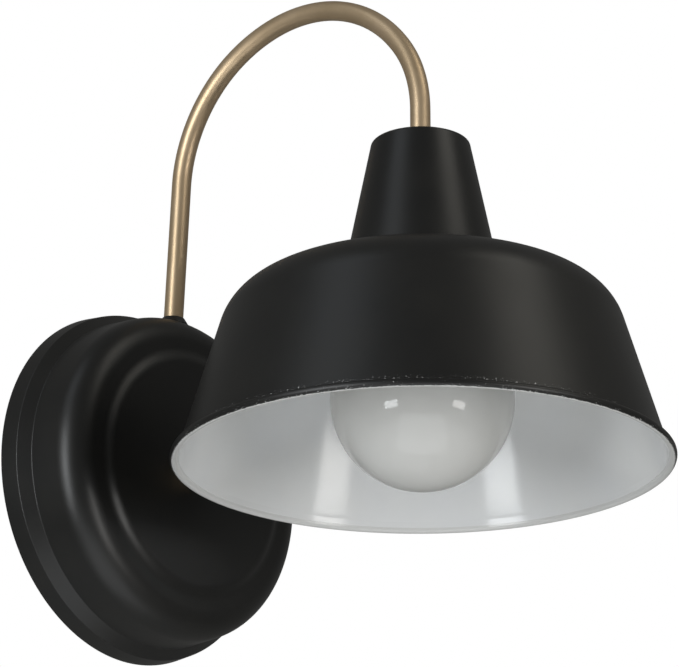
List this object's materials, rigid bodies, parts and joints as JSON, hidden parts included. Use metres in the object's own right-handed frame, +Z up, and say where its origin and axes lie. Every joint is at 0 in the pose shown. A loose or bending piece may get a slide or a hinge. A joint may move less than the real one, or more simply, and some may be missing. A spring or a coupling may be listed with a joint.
{
  "type": "outdoor wall lantern",
  "caption": "Wall lantern: round stepped canopy, bent tube arm, cone neck and downward bell shade over a globe bulb that unscrews.",
  "frame": {"origin": "centre of the strap's two box-screw slots, on the wall plane, behind the canopy's centre", "axes": "+Z up, +Y into the wall; the arm and shade stand out towards -Y; X across the wall"},
  "size_m": [0.2032, 0.2667, 0.2759],
  "materials": {
    "satin_black": "satin black powder coat",
    "shade_enamel": "satin black outside, gloss white enamel inside",
    "antique_gold": "satin champagne gold",
    "foam": "closed-cell foam",
    "black_rubber": "matte",
    "zinc_steel": "zinc plated",
    "green_screw": "green plated",
    "copper": "bare drawn copper",
    "nylon": "moulded",
    "porcelain": "glazed porcelain",
    "brass": "pressed",
    "black_insulation": "drawn",
    "white_insulation": "drawn",
    "connector_plastic": "moulded, ribbed",
    "opal_glass": "opal, glossy",
    "bulb_aluminium": "rolled thread",
    "black_glass": "fused black glass",
    "solder": "dull solder",
    "clear_glass": "clear",
    "nickel_wire": "drawn",
    "tungsten": "coiled"
  },
  "bodies": {
    "root": {"canopy": "satin_black", "wall_gasket": "foam", "mounting_strap": "zinc_steel", "center_nipple": "zinc_steel", "strap_lock_nut": "zinc_steel", "cap_washer": "black_rubber", "cap_nut": "antique_gold", "ground_screw": "green_screw", "ground_wire": "copper", "arm_tube": "antique_gold", "arm_base_washer": "zinc_steel", "arm_base_nut": "zinc_steel", "arm_base_bushing": "nylon", "arm_top_washer": "zinc_steel", "arm_top_nut": "zinc_steel", "arm_top_bushing": "nylon", "neck": "satin_black", "neck_gasket": "black_rubber", "shade": "shade_enamel", "shade_ring": "zinc_steel", "socket_body": "porcelain", "socket_shell": "brass", "center_contact": "brass", "contact_rivet": "brass", "shell_rivet": "brass", "live_terminal": "brass", "neutral_terminal": "brass", "terminal_screws": "zinc_steel", "socket_bracket": "zinc_steel", "socket_screws": "zinc_steel", "live_lead": "black_insulation", "neutral_lead": "white_insulation", "wire_connectors": "connector_plastic"},
    "bulb_screwing": {"bulb_tip_contact": "solder"},
    "bulb": {"bulb_globe": "opal_glass", "bulb_shell": "bulb_aluminium", "bulb_insulator": "black_glass", "bulb_stem": "clear_glass", "bulb_support_wires": "nickel_wire", "bulb_filament": "tungsten"}
  },
  "joints": [
    {"name": "bulb_travel", "type": "slide", "parent": "root", "child": "bulb_screwing", "axis": [0, 0, -1], "range_m": [0, 0.01816]},
    {"name": "bulb_turn", "type": "hinge", "parent": "bulb_screwing", "child": "bulb", "pos_m": [0, -0.1651, 0.05], "axis": [0, 0, -1], "range_deg": [0, 1800]}
  ],
  "couplings": [
    {"joint": "bulb_travel", "follows": "bulb_turn", "m_per_rad": 0.00057757}
  ]
}
